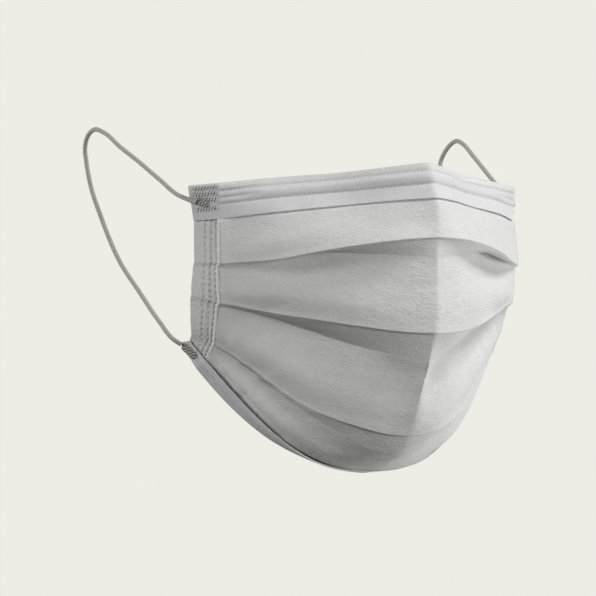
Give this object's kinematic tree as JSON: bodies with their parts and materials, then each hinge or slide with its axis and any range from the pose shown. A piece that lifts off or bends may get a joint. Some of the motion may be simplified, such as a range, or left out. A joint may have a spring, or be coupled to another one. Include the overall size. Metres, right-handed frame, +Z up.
{
  "type": "surgical face mask",
  "caption": "Disposable pleated face mask in its worn shape, with embossed hems, a shaped nose ridge and round elastic ear loops welded to the corners.",
  "frame": {"origin": "on the inside of the cloth at the bridge of the nose, where the mask sits on a face", "axes": "+X towards the wearer's left, +Y from the mask into the face, +Z up"},
  "size_m": [0.1547, 0.1126, 0.1212],
  "materials": {
    "pleated_cloth": "matt spunbond nonwoven cloth, pale grey-white",
    "hem_cloth": "matt nonwoven cloth folded double, with embossed weld lines",
    "wire": "flat soft wire, covered by the hem",
    "elastic": "round knitted elastic, grey",
    "welded_elastic": "elastic pressed flat and welded, darker grey"
  },
  "bodies": {
    "root": {"pleated_panel": "pleated_cloth", "top_hem": "hem_cloth", "bottom_hem": "hem_cloth", "nose_wire": "wire", "ear_loop_right": "elastic", "ear_loop_left": "elastic", "loop_weld_upper_right": "welded_elastic", "loop_weld_lower_right": "welded_elastic", "loop_weld_upper_left": "welded_elastic", "loop_weld_lower_left": "welded_elastic"}
  },
  "joints": []
}
